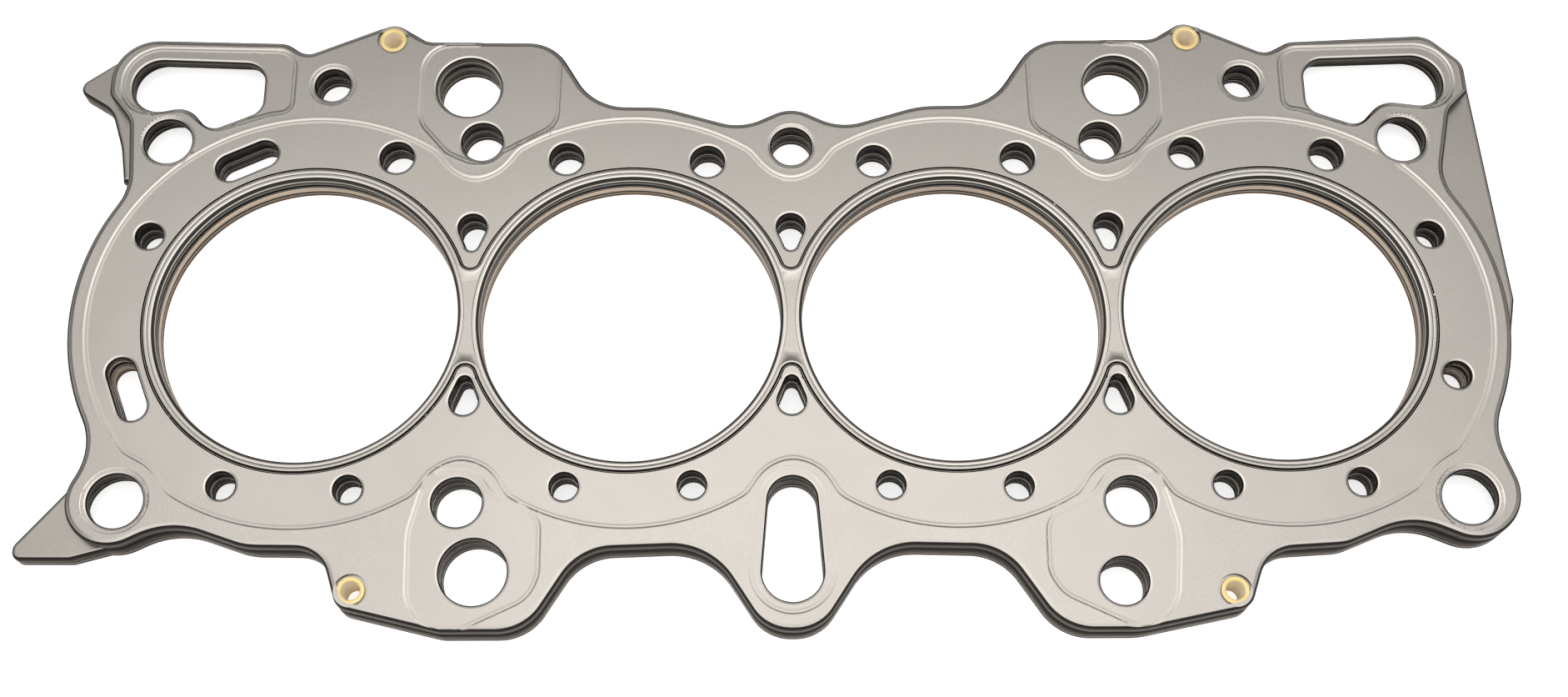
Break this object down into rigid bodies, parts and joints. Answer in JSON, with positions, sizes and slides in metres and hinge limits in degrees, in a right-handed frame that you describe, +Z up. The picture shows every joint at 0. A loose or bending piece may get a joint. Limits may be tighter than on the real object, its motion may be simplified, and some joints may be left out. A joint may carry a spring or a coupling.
{
  "type": "cylinder head gasket",
  "caption": "Flat multi-layer steel gasket with ringed cylinder openings, pressed beads, bolt, coolant and oil holes, and brass eyelets that hold its sheets together.",
  "frame": {"origin": "midway between the two middle bores, on the underside of the bottom sheet", "axes": "+X along the row of bores, +Y across the deck towards the side with the two oil ports, +Z up out of the block"},
  "size_m": [0.415, 0.1816, 0.011],
  "materials": {
    "sheet_steel": "satin, faint grain",
    "inner_steel": "satin, cut edges",
    "shim_steel": "dark, set back",
    "base_steel": "satin, browned edges",
    "ring_steel": "bright satin",
    "eyelet_brass": "polished"
  },
  "bodies": {
    "root": {"top_sheet": "sheet_steel", "upper_sheet": "inner_steel", "upper_shim": "shim_steel", "spacer_sheet": "inner_steel", "lower_shim": "shim_steel", "bottom_sheet": "base_steel", "bore_ring_1": "ring_steel", "bore_ring_2": "ring_steel", "bore_ring_3": "ring_steel", "bore_ring_4": "ring_steel", "eyelet_1": "eyelet_brass", "eyelet_2": "eyelet_brass", "eyelet_3": "eyelet_brass", "eyelet_4": "eyelet_brass"}
  },
  "joints": []
}
